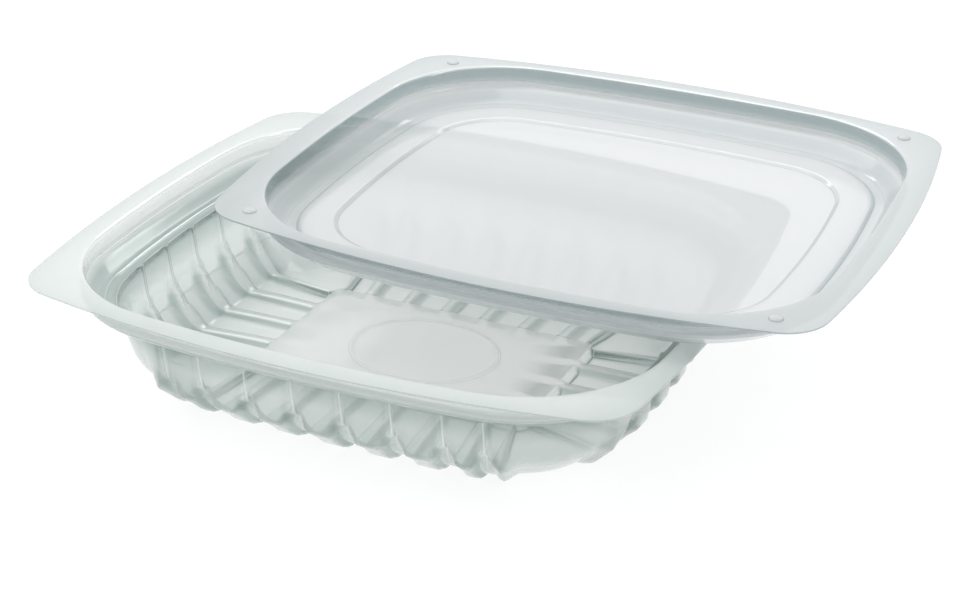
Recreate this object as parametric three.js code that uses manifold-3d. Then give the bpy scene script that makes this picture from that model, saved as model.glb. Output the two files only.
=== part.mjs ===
// A clear takeaway meal container: a ribbed tray, and its plug-fit lid laid loosely across it.
// Millimetres, +Z up, long sides along X. The tray stands on z = 0, the lid lies on it to the right and back,
// and the middle of the two together is at x = y = 0.
// Both pieces are one thin pressed sheet each, so each is a closed shell with the sheet's thickness.
import * as THREE from 'three';
import * as BufferGeometryUtils from 'three/addons/utils/BufferGeometryUtils.js';
import Module from 'manifold-3d';

const wasm = await Module();
wasm.setup();

// Sheet and outside sizes
const SHEET = 0.5;
const TRAY_HEIGHT = 38.8;
const FLANGE = { a: 95, b: 84, bowA: 4.4, bowB: 7.6, r: 14.2 };

// Depths in the tray, measured down from the top of its flange to the upper face of the sheet
const LEDGE_DEPTH = 10.9;
const VALLEY_DEPTH = TRAY_HEIGHT - SHEET;
const PANEL_DEPTH = 35.6;
const RIB_DEPTH = 36.0;

// Raised flat panel in the middle of the floor: half sizes, corner radius, and the foot of its sides
const PANEL_TOP = { a: 43.5, b: 26.4, r: 1.5 };
const PANEL_FOOT = { a: 44.8, b: 27.7, r: 5 };

// Where the fluted wall meets the slope below it, and the ledge above it
const WALL_FOOT = { a: 77.6, b: 65.6, bowA: 1.9, bowB: 1.9, r: 30 };
const WALL_TOP = { a: 79.3, b: 67.3, bowA: 1.9, bowB: 1.9, r: 31 };
const FLUTE_SWING = 0.9;

// Floor ribs run out from the panel and spread a little towards the wall
const LONG_RIBS = { panel: [6.55, 19.65, 32.75, 45.85], wall: [7.4, 22.2, 37.0, 48.5] };
const LONG_VALLEYS = { panel: [0, 13.1, 26.2, 39.3], wall: [0, 14.8, 29.6, 43.0] };
const SHORT_RIBS = { panel: [0, 13.3, 26.6], wall: [0, 14.9, 29.8] };
const SHORT_VALLEYS = { panel: [6.65, 19.95], wall: [7.45, 22.35] };
const RIB_TOP_HALF = 1.2;
const RIB_FOOT_HALF = 2.85;
const CORNER_COLUMNS = 6;

// Rows from the panel's foot to the wall's foot: [share of the way out, depth], in a valley and on a rib.
// A rib ends in a rounded nose that stands out from the wall.
const VALLEY_ROWS = [
  [0, VALLEY_DEPTH], [0.25, VALLEY_DEPTH], [0.7, VALLEY_DEPTH], [0.76, 37.5],
  [0.83, 35.2], [0.9, 32.7], [0.96, 30.9], [1, 29.6], [1, 25.0],
];
const RIB_ROWS = [
  [0, RIB_DEPTH], [0.25, RIB_DEPTH], [0.62, RIB_DEPTH], [0.72, 34.5],
  [0.8, 32.0], [0.845, 29.5], [0.875, 27.0], [0.93, 25.4], [1, 24.8],
];

// In a corner the same depths lie at these shares of the way from the panel's foot to the ledge.
// CORNER_BLEND is the part of a corner over which the side's shape turns into this one.
const CORNER_SHARES = [0, 0.25, 0.5, 0.57, 0.67, 0.75, 0.8, 0.835, 0.91];
const CORNER_BLEND = 0.2;

// Rows of the tray above the fluted wall: the ledge, the lock for the lid's bead, and the flange
const TRAY_RIM = [
  { a: 84.2, b: 72.8, bowA: 1.6, bowB: 2.1, r: 37, depth: LEDGE_DEPTH - 0.2, level: true },
  { a: 88.4, b: 77.0, bowA: 1.3, bowB: 2.4, r: 42, depth: 7.6 },
  { a: 88.7, b: 77.3, bowA: 1.3, bowB: 2.4, r: 42, depth: 6.2 },
  { a: 88.0, b: 76.6, bowA: 1.3, bowB: 2.4, r: 42, depth: 5.2 },
  { a: 88.3, b: 76.9, bowA: 1.3, bowB: 2.4, r: 42, depth: 0.9 },
  { a: 89.2, b: 77.8, bowA: 1.4, bowB: 2.5, r: 42, depth: 0, level: true },
  { ...FLANGE, depth: 0, level: true },
];

// The lid, from its middle panel out to its flange. Its trough rests on the tray's flange.
const TROUGH_DEPTH = 11.5;
const PLATEAU_DEPTH = 10.7;
const LID_ROWS = [
  { a: 67.4, b: 57.7, bowA: 1.4, bowB: 2.0, r: 24, depth: TROUGH_DEPTH, level: true },
  { a: 68.6, b: 58.9, bowA: 1.4, bowB: 2.0, r: 25, depth: PLATEAU_DEPTH, level: true },
  { a: 77.4, b: 68.6, bowA: 1.3, bowB: 1.8, r: 34, depth: PLATEAU_DEPTH, level: true },
  { a: 78.6, b: 69.8, bowA: 1.3, bowB: 1.8, r: 35, depth: TROUGH_DEPTH, level: true },
  { a: 81.4, b: 72.9, bowA: 1.2, bowB: 1.7, r: 38, depth: TROUGH_DEPTH, level: true },
  { a: 83.0, b: 74.6, bowA: 1.2, bowB: 1.6, r: 39, depth: 10.6 },
  { a: 86.0, b: 77.6, bowA: 1.1, bowB: 1.5, r: 41, depth: 7.4 },
  { a: 86.6, b: 78.2, bowA: 1.1, bowB: 1.5, r: 41, depth: 6.2 },
  { a: 85.8, b: 77.4, bowA: 1.1, bowB: 1.5, r: 41, depth: 5.0 },
  { a: 86.3, b: 77.9, bowA: 1.1, bowB: 1.5, r: 41, depth: 0.9 },
  { a: 87.2, b: 78.8, bowA: 1.2, bowB: 1.6, r: 41, depth: 0, level: true },
  { ...FLANGE, depth: 0, level: true },
];
const LID_SIDE_COLUMNS = { short: 6, corner: 7, long: 7 };

// Small stacking buttons near the lid's corners
const BUTTON = { x: 77.6, y: 68.6, radius: 2.1, shoulder: 0.32, height: 0.8, crown: 1.3, sides: 12 };

// Points closer together than this are one point of a mesh
const MERGE_DISTANCE = 1e-5;

// Where the middles of the tray and the lid are, the lid's turn, and the narrow gap between the two
const TRAY_PLACE = { x: -17.45, y: -21.2 };
const LID_PLACE = { x: 17.45, y: 21.2, turn: THREE.MathUtils.degToRad(0.4), gap: 0.3 };

// Adds to an outline's sizes the centres and radii of its arcs. a and b are the half sizes at the middle
// of the sides, bowA and bowB the bow of the short and the long sides, r the corner radius.
function outline({ a, b, bowA, bowB, r }) {
  const cornerX = a - r - bowA;
  const cornerY = b - r - bowB;
  const shortRadius = (cornerY ** 2 + 2 * r * bowA + bowA ** 2) / (2 * bowA);
  const longRadius = (cornerX ** 2 + 2 * r * bowB + bowB ** 2) / (2 * bowB);
  const shortEnd = Math.asin(cornerY / (shortRadius - r));
  const longEnd = Math.acos(cornerX / (longRadius - r));
  return { a, b, r, cornerX, cornerY, shortRadius, longRadius, shortEnd, longEnd };
}

// Point of the first quarter of an outline whose outward normal stands at this angle
function pointAt(o, angle) {
  const c = Math.cos(angle);
  const s = Math.sin(angle);
  if (angle < o.shortEnd) return [o.a - o.shortRadius * (1 - c), o.shortRadius * s];
  if (angle > o.longEnd) return [o.longRadius * c, o.b - o.longRadius * (1 - s)];
  return [o.cornerX + o.r * c, o.cornerY + o.r * s];
}

// Normal's angle at a distance along the long side, and at one along the short side
function angleOnLong(o, x) {
  if (x <= o.longRadius * Math.cos(o.longEnd)) return Math.acos(x / o.longRadius);
  return Math.acos((x - o.cornerX) / o.r);
}

function angleOnShort(o, y) {
  if (y <= o.shortRadius * Math.sin(o.shortEnd)) return Math.asin(y / o.shortRadius);
  return Math.asin((y - o.cornerY) / o.r);
}

// Columns of one quarter of the tray, from the middle of the short side round to that of the long side.
// rib is 1 on a rib's top and 0 in a valley, flute runs from -1 at a rib to 1 in the middle of a valley.
function trayQuarter() {
  const rib = (side, panel, wall) => [
    { side, panel: panel - RIB_FOOT_HALF, wall: wall - RIB_FOOT_HALF, rib: 0, flute: 0.2 },
    { side, panel: panel - RIB_TOP_HALF, wall: wall - RIB_TOP_HALF, rib: 1, flute: -1, main: true },
    { side, panel: panel + RIB_TOP_HALF, wall: wall + RIB_TOP_HALF, rib: 1, flute: -1 },
    { side, panel: panel + RIB_FOOT_HALF, wall: wall + RIB_FOOT_HALF, rib: 0, flute: 0.2 },
  ];
  const sideColumns = (side, ribs, valleys) => {
    const columns = ribs.panel.flatMap((panel, i) => rib(side, panel, ribs.wall[i]));
    valleys.panel.forEach((panel, i) => {
      columns.push({ side, panel, wall: valleys.wall[i], rib: 0, flute: 1, main: true });
    });
    return columns.filter((c) => c.panel >= 0).sort((p, q) => p.panel - q.panel);
  };
  const short = sideColumns('short', SHORT_RIBS, SHORT_VALLEYS);
  short[0].main = true;
  const long = sideColumns('long', LONG_RIBS, LONG_VALLEYS).reverse();
  const corner = Array.from({ length: CORNER_COLUMNS }, (_, i) => {
    const share = (i + 1) / (CORNER_COLUMNS + 1);
    return { side: 'corner', share, rib: 0, flute: 0, main: true };
  });
  const quarter = [...short, ...corner, ...long];
  // The columns that leave the panel at its small rounded corner share that corner's quarter turn
  const turning = quarter.filter((c) => c.side === 'corner' || beyondPanelSide(c));
  turning.forEach((c, i) => {
    c.turn = ((i + 0.5) / turning.length) * Math.PI / 2;
  });
  return quarter;
}

function beyondPanelSide(column) {
  const half = column.side === 'short' ? PANEL_FOOT.b : PANEL_FOOT.a;
  return column.panel > half - PANEL_FOOT.r;
}

// Repeats one quarter's columns round all four, counter-clockwise. A column on X = 0 comes once.
function wholeTurn(quarter) {
  const turns = [[1, 1], [-1, 1], [-1, -1], [1, -1]];
  const all = turns.flatMap(([sx, sy]) => {
    const list = sx * sy > 0 ? quarter : [...quarter].reverse();
    return list.map((c) => ({ ...c, sx, sy })).filter((c) => !(c.onAxis && sx < 0));
  });
  return all.map((c, id) => ({ ...c, id }));
}

// Point of a column on an outline. reach says where the side's columns stop and the corner's begin.
function columnPoint(o, column, place, reach) {
  const shortAngle = angleOnShort(o, reach.short);
  const longAngle = angleOnLong(o, reach.long);
  let angle = THREE.MathUtils.lerp(shortAngle, longAngle, column.share ?? 0);
  if (column.side === 'short') angle = angleOnShort(o, place);
  if (column.side === 'long') angle = angleOnLong(o, place);
  const [x, y] = pointAt(o, angle);
  return new THREE.Vector2(x, y);
}

// Point of a column on one of the panel's outlines, which are plain rounded rectangles
function panelPoint({ a, b, r }, column) {
  if (column.turn !== undefined) {
    return new THREE.Vector2(a - r + r * Math.cos(column.turn), b - r + r * Math.sin(column.turn));
  }
  if (column.side === 'short') return new THREE.Vector2(a, column.panel);
  return new THREE.Vector2(column.panel, b);
}

// How far a column has left the shape of the sides and taken on that of the corner
function cornerShare(column) {
  if (column.side !== 'corner') return 0;
  const fromEnd = Math.min(column.share, 1 - column.share);
  return THREE.MathUtils.smoothstep(fromEnd, 0, CORNER_BLEND);
}

function vertex(column, point, z, level) {
  return { id: column.id, p: new THREE.Vector3(column.sx * point.x, column.sy * point.y, z), level };
}

// Rows of the tray's upper face, from the panel out to the flange
function trayRows() {
  const quarter = trayQuarter();
  quarter.forEach((c) => { c.onAxis = c.side === 'long' && c.panel === 0; });
  const columns = wholeTurn(quarter);
  const foot = outline(WALL_FOOT);
  const top = outline(WALL_TOP);
  const reach = { short: Math.max(...SHORT_RIBS.wall) + RIB_FOOT_HALF,
    long: Math.max(...LONG_RIBS.wall) + RIB_FOOT_HALF };
  const lines = columns.map((c) => {
    const start = panelPoint(PANEL_FOOT, c);
    const end = columnPoint(foot, c, c.wall, reach);
    const ledge = columnPoint(top, c, c.wall, reach);
    return { start, end, ledge };
  });

  const rows = [columns.map((c) => vertex(c, panelPoint(PANEL_TOP, c), TRAY_HEIGHT - PANEL_DEPTH, true))];
  VALLEY_ROWS.forEach((valley, k) => {
    rows.push(columns.map((c, i) => {
      const line = lines[i];
      // At the panel's corner the floor starts at the ribs' height and falls to the valleys' further out
      const rib = k === 0 && c.turn !== undefined ? 1 : c.rib;
      const share = THREE.MathUtils.lerp(valley[0], RIB_ROWS[k][0], c.rib);
      const depth = THREE.MathUtils.lerp(valley[1], RIB_ROWS[k][1], rib);
      const inCorner = line.start.clone().lerp(line.ledge, CORNER_SHARES[k]);
      const along = line.start.clone().lerp(line.end, share).lerp(inCorner, cornerShare(c));
      if (k === VALLEY_ROWS.length - 1) pushFlute(c, along);
      const level = depth >= RIB_DEPTH;
      return vertex(c, along, TRAY_HEIGHT - depth, level);
    }));
  });
  rows.push(columns.map((c, i) => {
    const edge = lines[i].ledge.clone();
    pushFlute(c, edge);
    return vertex(c, edge, TRAY_HEIGHT - LEDGE_DEPTH, true);
  }));

  TRAY_RIM.forEach((size) => {
    const o = outline(size);
    const scale = { short: o.cornerY / top.cornerY, long: o.cornerX / top.cornerX };
    const ringReach = { short: reach.short * scale.short, long: reach.long * scale.long };
    rows.push(columns.filter((c) => c.main).map((c) => {
      const point = columnPoint(o, c, c.wall * (scale[c.side] ?? 1), ringReach);
      return vertex(c, point, TRAY_HEIGHT - size.depth, Boolean(size.level));
    }));
  });
  return rows;
}

// Moves a wall point out between the ribs and in at them, square to its side
function pushFlute(column, point) {
  const swing = FLUTE_SWING * column.flute;
  if (column.side === 'short') point.x += swing;
  if (column.side === 'long') point.y += swing;
}

// Rows of the lid's upper face, from its middle panel out to the flange, its flange's top at z = 0
function lidRows() {
  const { short, corner, long } = LID_SIDE_COLUMNS;
  const side = (name, count) => Array.from({ length: count }, (_, i) => {
    return { side: name, part: (i + 0.5) / count };
  });
  const turn = Array.from({ length: corner }, (_, i) => ({ side: 'corner', share: (i + 0.5) / corner }));
  const columns = wholeTurn([...side('short', short), ...turn, ...side('long', long).reverse()]);
  return LID_ROWS.map((size) => {
    const o = outline(size);
    const reach = { short: o.shortRadius * Math.sin(o.shortEnd), long: o.longRadius * Math.cos(o.longEnd) };
    return columns.map((c) => {
      const point = columnPoint(o, c, (c.part ?? 0) * (reach[c.side] ?? 0), reach);
      return vertex(c, point, -size.depth, Boolean(size.level));
    });
  });
}

// Triangles between two rows, where the outer row may leave out columns of the inner one
function zip(inner, outer, count) {
  const faces = [];
  let i = 0;
  let j = 0;
  while (i < inner.length || j < outer.length) {
    const a = inner[i % inner.length];
    const b = outer[j % outer.length];
    const nextInner = i + 1 < inner.length ? inner[i + 1].id : count;
    const nextOuter = j + 1 < outer.length ? outer[j + 1].id : count;
    if (j < outer.length && (i >= inner.length || nextOuter <= nextInner)) {
      faces.push([a, b, outer[(j + 1) % outer.length]]);
      j += 1;
    } else {
      faces.push([a, b, inner[(i + 1) % inner.length]]);
      i += 1;
    }
  }
  return faces;
}

// Closed shell of sheet thickness under the given rows. Level rows keep their lower face level too.
function shell(rows) {
  const middle = { p: new THREE.Vector3(0, 0, rows[0][0].p.z), level: true };
  const ring = (row, k) => row[(k + 1) % row.length];
  const upper = rows[0].map((v, k) => [middle, v, ring(rows[0], k)]);
  const count = Math.max(...rows[0].map((v) => v.id)) + 1;
  for (let k = 0; k + 1 < rows.length; k += 1) upper.push(...zip(rows[k], rows[k + 1], count));

  const all = [middle, ...rows.flat()];
  all.forEach((v) => { v.normal = new THREE.Vector3(); });
  upper.forEach((face) => addNormals(face));
  all.forEach((v) => {
    v.normal.normalize();
    const reach = v.level ? SHEET / v.normal.z : SHEET;
    v.under = v.p.clone().addScaledVector(v.normal, -reach);
  });

  const positions = [];
  const add = (...points) => points.forEach((q) => positions.push(q.x, q.y, q.z));
  upper.forEach(([a, b, c]) => {
    add(a.p, b.p, c.p);
    add(a.under, c.under, b.under);
  });
  const rim = rows[rows.length - 1];
  rim.forEach((v, k) => {
    const w = ring(rim, k);
    add(v.p, v.under, w.under);
    add(v.p, w.under, w.p);
  });
  const geometry = new THREE.BufferGeometry();
  geometry.setAttribute('position', new THREE.Float32BufferAttribute(positions, 3));
  return BufferGeometryUtils.mergeVertices(geometry, MERGE_DISTANCE);
}

// Adds a face's normal to its three corners, weighted by the corner's angle
function addNormals(face) {
  const normal = new THREE.Triangle(face[0].p, face[1].p, face[2].p).getNormal(new THREE.Vector3());
  face.forEach((v, k) => {
    const toNext = face[(k + 1) % 3].p.clone().sub(v.p);
    const toLast = face[(k + 2) % 3].p.clone().sub(v.p);
    v.normal.addScaledVector(normal, toNext.angleTo(toLast));
  });
}

function solidOf(geometry) {
  const bare = geometry.clone();
  bare.deleteAttribute('normal');
  bare.deleteAttribute('uv');
  const merged = BufferGeometryUtils.mergeVertices(bare, MERGE_DISTANCE);
  return new wasm.Manifold(new wasm.Mesh({
    numProp: 3,
    vertProperties: new Float32Array(merged.attributes.position.array),
    triVerts: new Uint32Array(merged.index.array),
  }));
}

function geometryOf(solid) {
  const mesh = solid.getMesh();
  const geometry = new THREE.BufferGeometry();
  geometry.setAttribute('position', new THREE.Float32BufferAttribute(mesh.vertProperties, 3));
  geometry.setIndex(new THREE.Uint32BufferAttribute(mesh.triVerts, 1));
  return geometry;
}

// A low round button that stands on the lid's flange, its foot sunk half into the sheet
function button(x, y) {
  const { radius, shoulder, height, crown, sides } = BUTTON;
  const profile = [
    new THREE.Vector2(0, -SHEET / 2),
    new THREE.Vector2(radius, -SHEET / 2),
    new THREE.Vector2(radius, shoulder),
    new THREE.Vector2(crown, height),
    new THREE.Vector2(0, height),
  ];
  const geometry = new THREE.LatheGeometry(profile, sides);
  geometry.rotateX(Math.PI / 2);
  geometry.translate(x, y, 0);
  return geometry;
}

function trayGeometry() {
  return shell(trayRows());
}

function lidGeometry() {
  let solid = solidOf(shell(lidRows()));
  for (const sx of [-1, 1]) {
    for (const sy of [-1, 1]) solid = solid.add(solidOf(button(sx * BUTTON.x, sy * BUTTON.y)));
  }
  return geometryOf(solid);
}

const clearSheet = { metalness: 0, transparent: true, opacity: 0.45 };
const trayPlastic = new THREE.MeshStandardMaterial({ color: 0xdde6e2, roughness: 0.08, ...clearSheet });
const lidPlastic = new THREE.MeshStandardMaterial({ color: 0xe0e6e6, roughness: 0.06, ...clearSheet });

const tray = new THREE.Mesh(trayGeometry(), trayPlastic);
tray.name = 'tray';
tray.position.set(TRAY_PLACE.x, TRAY_PLACE.y, 0);

const lid = new THREE.Mesh(lidGeometry(), lidPlastic);
lid.name = 'lid';
lid.position.set(LID_PLACE.x, LID_PLACE.y, TRAY_HEIGHT + LID_PLACE.gap + SHEET + TROUGH_DEPTH);
lid.rotation.z = LID_PLACE.turn;

const container = new THREE.Group();
container.name = 'meal_container';
container.add(tray, lid);

export default container;
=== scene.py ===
# %% [markdown]
# # A clear takeaway meal container
# The real thing is two thin sheets of clear plastic, each heated and pressed over a mould: an oblong tray
# with ribs in its floor and flutes in its walls, and a lid whose middle plugs into the tray. Here the lid
# lies loosely across the tray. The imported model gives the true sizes, and this script dresses it with a
# finer surface. Everything is in metres, and each piece stays where the model has it.

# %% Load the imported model
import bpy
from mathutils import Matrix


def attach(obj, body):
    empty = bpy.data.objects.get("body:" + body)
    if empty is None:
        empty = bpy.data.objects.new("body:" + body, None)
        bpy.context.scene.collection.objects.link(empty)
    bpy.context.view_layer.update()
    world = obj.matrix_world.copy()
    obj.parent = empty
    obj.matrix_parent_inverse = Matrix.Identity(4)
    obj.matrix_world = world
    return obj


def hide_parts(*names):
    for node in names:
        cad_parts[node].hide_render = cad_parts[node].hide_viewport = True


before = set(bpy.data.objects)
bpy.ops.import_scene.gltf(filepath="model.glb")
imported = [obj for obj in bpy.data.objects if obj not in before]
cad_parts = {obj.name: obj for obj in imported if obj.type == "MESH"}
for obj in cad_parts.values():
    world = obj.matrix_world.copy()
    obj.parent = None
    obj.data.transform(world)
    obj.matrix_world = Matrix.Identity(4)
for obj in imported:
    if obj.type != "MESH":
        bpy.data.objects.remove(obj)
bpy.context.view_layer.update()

# %% [markdown]
# ## Sizes
# A pressed sheet is best described by a few outlines at known depths. Sizes are in millimetres, because
# that is how a mould maker would give them, and one constant turns them into metres at the end.

# %% Sizes that both pieces share
import math

import bpy
import numpy as np
from mathutils import Matrix, Vector

MM = 0.001
SHEET = 0.5
TRAY_HEIGHT = 38.8
TRAY_PLACE = (-17.45, -21.2, 0.0)
LID_PLACE = (17.45, 21.2, 51.1)
LID_TURN = math.radians(0.4)

# %% [markdown]
# ## Outlines
# Every step of the tray and the lid is a rectangle with bowed sides and round corners. Three arcs make a
# quarter of it, so a point on it can be found from the direction in which its side faces.

# %% A bowed rectangle with round corners
class Outline:
    def __init__(self, a, b, bow_a, bow_b, r):
        self.a, self.b, self.r = a, b, r
        self.corner_x = a - r - bow_a
        self.corner_y = b - r - bow_b
        self.short_radius = (self.corner_y ** 2 + 2 * r * bow_a + bow_a ** 2) / (2 * bow_a)
        self.long_radius = (self.corner_x ** 2 + 2 * r * bow_b + bow_b ** 2) / (2 * bow_b)
        self.short_end = math.asin(self.corner_y / (self.short_radius - r))
        self.long_end = math.acos(self.corner_x / (self.long_radius - r))
        self.short_reach = self.short_radius * math.sin(self.short_end)
        self.long_reach = self.long_radius * math.cos(self.long_end)

    def at(self, angle):
        """Points whose outward direction stands at these angles, from the short side to the long one."""
        c = np.cos(angle)
        s = np.sin(angle)
        short = np.stack([self.a - self.short_radius * (1 - c), self.short_radius * s], -1)
        corner = np.stack([self.corner_x + self.r * c, self.corner_y + self.r * s], -1)
        long = np.stack([self.long_radius * c, self.b - self.long_radius * (1 - s)], -1)
        sides = np.where((angle < self.short_end)[:, None], short, corner)
        return np.where((angle > self.long_end)[:, None], long, sides)

    def angle_on_short(self, y):
        on_side = np.arcsin(np.clip(y / self.short_radius, -1, 1))
        on_corner = np.arcsin(np.clip((y - self.corner_y) / self.r, -1, 1))
        return np.where(y <= self.short_reach, on_side, on_corner)

    def angle_on_long(self, x):
        on_side = np.arccos(np.clip(x / self.long_radius, -1, 1))
        on_corner = np.arccos(np.clip((x - self.corner_x) / self.r, -1, 1))
        return np.where(x <= self.long_reach, on_side, on_corner)

# %% [markdown]
# ## Columns and rows
# The sheet is a net of rows, one for each outline, and columns that run out from the middle to the flange.
# A quarter of the columns is laid out and mirrored round, since the real piece is the same in all
# four quarters.

# %% Columns of one quarter, and the whole turn
SHORT, CORNER, LONG = 0, 1, 2


def quarter_columns(short_places, corner_count, long_places):
    """One quarter's columns: which side each is on, its place along the side, its share of the corner."""
    side = [SHORT] * len(short_places) + [CORNER] * corner_count + [LONG] * len(long_places)
    place = list(short_places) + [0.0] * corner_count + list(long_places)[::-1]
    corner = [(i + 1) / (corner_count + 1) for i in range(corner_count)]
    share = [0.0] * len(short_places) + corner + [1.0] * len(long_places)
    return dict(side=np.array(side), place=np.array(place), share=np.array(share))


def whole_turn(points):
    """Mirrors one quarter's rows of points (x, y, z) round the other three. Columns on an axis come once."""
    left = points[:, ::-1] * (-1, 1, 1)
    half = np.concatenate([points, left[:, 1:]], 1)
    front = half[:, ::-1] * (1, -1, 1)
    return np.concatenate([half, front[:, 1:-1]], 1)


def on_outline(outline, columns, reach_short, reach_long):
    """Where a quarter's columns cross an outline. The reaches say where the sides' columns stop."""
    place, share, side = columns["place"], columns["share"], columns["side"]
    start = outline.angle_on_short(np.array(reach_short))
    end = outline.angle_on_long(np.array(reach_long))
    angle = start + (end - start) * share
    angle = np.where(side == SHORT, outline.angle_on_short(place), angle)
    angle = np.where(side == LONG, outline.angle_on_long(place), angle)
    return outline.at(angle)

# %% [markdown]
# ## Soft folds
# Plastic pressed over a mould never has a knife edge. Cutting the corners of the rows a few times, as a
# carpenter planes an edge, rounds every fold by about a quarter of the row's spacing, so rows that lie close
# together keep a fold tight. Afterwards only the rows that carry the shape are kept.

# %% Rounding the folds and thinning the rows
CUT = 0.25
CUT_PASSES = 2
LAST_ROWS_REACH = 5
ROUNDING_ERROR = 1e-9


def soften(rows):
    """Cuts the corners between rows. The first and last rows stay."""
    for _ in range(CUT_PASSES):
        near = (1 - CUT) * rows[:-1] + CUT * rows[1:]
        far = CUT * rows[:-1] + (1 - CUT) * rows[1:]
        between = np.stack([near, far], 1).reshape(-1, *rows.shape[1:])
        rows = np.concatenate([rows[:1], between, rows[-1:]])
    return rows


def useful_rows(profile, count, length_per_row=9.0, turn_per_row=0.2):
    """Picks rows evenly in a measure that adds up length and turning, and keeps the flange's edge."""
    step = np.diff(profile, axis=0)
    length = np.linalg.norm(step, axis=1)
    heading = np.unwrap(np.arctan2(step[:, -1], np.linalg.norm(step[:, :-1], axis=1)))
    turn = np.concatenate([[0], np.abs(np.diff(heading))])
    measure = np.concatenate([[0], np.cumsum(length / length_per_row + turn / turn_per_row)])
    wanted = np.linspace(0, measure[-1], count)
    picked = np.searchsorted(measure, wanted - ROUNDING_ERROR).clip(0, len(profile) - 1)
    last_rows = np.arange(len(profile) - LAST_ROWS_REACH, len(profile), 2)
    return np.union1d(picked, last_rows)

# %% [markdown]
# ## From a net to a mesh
# Rows and columns make quads, and a fan closes the middle. Extra numbers can be stored on each point, which
# the next tools read by name.

# %% Making a mesh of the net
def net_mesh(name, rows, attributes=()):
    count_rows, count_columns, _ = rows.shape
    middle = rows[0].mean(0)
    points = np.concatenate([[middle], rows.reshape(-1, 3)]) * MM
    index = 1 + np.arange(count_rows * count_columns).reshape(count_rows, count_columns)
    turned = np.roll(index, -1, 1)
    fan = np.stack([np.zeros(count_columns, int), index[0], turned[0]], -1)
    quads = np.stack([index[:-1], index[1:], turned[1:], turned[:-1]], -1).reshape(-1, 4)
    mesh = bpy.data.meshes.new(name)
    mesh.from_pydata(points.tolist(), [], fan.tolist() + quads.tolist())
    for label, kind, values in attributes:
        flat = values.reshape(count_rows * count_columns, -1)
        flat = np.concatenate([np.zeros((1, flat.shape[1])), flat])
        field = "vector" if kind == "FLOAT_VECTOR" else "value"
        mesh.attributes.new(label, kind, "POINT").data.foreach_set(field, flat.ravel().astype(np.float32))
    mesh.shade_smooth()
    mesh.update()
    piece = bpy.data.objects.new(name, mesh)
    bpy.context.scene.collection.objects.link(piece)
    print(name, count_rows, "rows", count_columns, "columns", len(mesh.polygons), "faces")
    return piece

# %% [markdown]
# ## The tray's ribs
# Ribs stiffen the floor. They start at the raised panel in the middle and spread a little on the way to the
# wall, where each ends in a rounded nose. The columns stand close together over each rib, so that its
# shoulders come out round, and wider apart in the valleys.

# %% Where the ribs run
LONG_RIBS = dict(panel=[6.55, 19.65, 32.75, 45.85], wall=[7.4, 22.2, 37.0, 48.5])
SHORT_RIBS = dict(panel=[0, 13.3, 26.6], wall=[0, 14.9, 29.8])
RIB_FOOT_HALF = 2.85
RIB_TOP_HALF = 0.9
COLUMNS_PER_RIB = 11
COLUMNS_PER_VALLEY = 5
CORNER_COLUMNS = 22
ON_THE_AXIS = 1e-6
NARROWEST_VALLEY = 1.0


def side_places(ribs):
    """Places along half a side, close together over the ribs and wider in the valleys."""
    over_rib = np.linspace(-RIB_FOOT_HALF, RIB_FOOT_HALF, COLUMNS_PER_RIB)
    places = np.concatenate([center + over_rib for center in ribs["wall"]])
    feet = np.unique(np.concatenate([[0.0], places[places > ON_THE_AXIS]]))
    gaps = np.diff(feet)
    in_valleys = [np.linspace(feet[i], feet[i + 1], COLUMNS_PER_VALLEY + 2)[1:-1]
                  for i in np.flatnonzero(gaps > NARROWEST_VALLEY)]
    return np.sort(np.concatenate([feet, *in_valleys]))


def panel_place(places, ribs):
    """The same columns' places at the panel, where the ribs stand closer together."""
    wall_knots = [0.0]
    panel_knots = [0.0]
    for at_panel, at_wall in zip(ribs["panel"], ribs["wall"]):
        for offset in (-RIB_FOOT_HALF, RIB_FOOT_HALF):
            if at_wall + offset > 0:
                wall_knots.append(at_wall + offset)
                panel_knots.append(at_panel + offset)
    return np.interp(places, wall_knots, panel_knots)


short_places = side_places(SHORT_RIBS)
long_places = side_places(LONG_RIBS)
tray_columns = quarter_columns(short_places, CORNER_COLUMNS, long_places)
print("columns in a quarter of the tray", len(tray_columns["side"]))

# %% [markdown]
# ## The tray's rows
# Two profiles run from the panel to the wall: one along a valley and one along the crown of a rib. The net
# is first laid in the valleys, and remembers on each point how far it is to the rib's surface. Corners have
# neither ribs nor flutes, and slope in sooner. Each row of a profile is a share of the way from the panel's
# foot to the wall's, and a depth under the flange.

# %% Profiles of a valley, a rib and a corner
PANEL_DEPTH = 35.6
LEDGE_DEPTH = 10.9
VALLEY_PROFILE = [(0, 38.3), (0.03, 38.3), (0.25, 38.3), (0.66, 38.3), (0.73, 38.1), (0.78, 37.0),
                  (0.84, 35.0), (0.9, 32.7), (0.95, 31.1), (0.99, 29.8), (1, 28.0), (1, 25.0)]
RIB_PROFILE = [(0, 36.0), (0.03, 36.0), (0.25, 36.0), (0.61, 36.3), (0.69, 36.5), (0.745, 35.7),
               (0.8, 33.9), (0.86, 31.4), (0.895, 29.4), (0.91, 27.4), (0.935, 25.6), (1, 24.8)]
CORNER_SHARES = [0, 0.03, 0.25, 0.48, 0.54, 0.61, 0.68, 0.75, 0.79, 0.83, 0.87, 0.91]
CORNER_BLEND = 0.2
PANEL_TOP = (43.5, 26.4, 1.5)
PANEL_FOOT = (44.8, 27.7, 5.0)
OVAL = (23.0, 19.5)
WALL_FOOT = Outline(77.6, 65.6, 1.9, 1.9, 30)
WALL_TOP = Outline(79.3, 67.3, 1.9, 1.9, 31)
REACH_SHORT = max(SHORT_RIBS["wall"]) + RIB_FOOT_HALF
REACH_LONG = max(LONG_RIBS["wall"]) + RIB_FOOT_HALF

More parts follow.
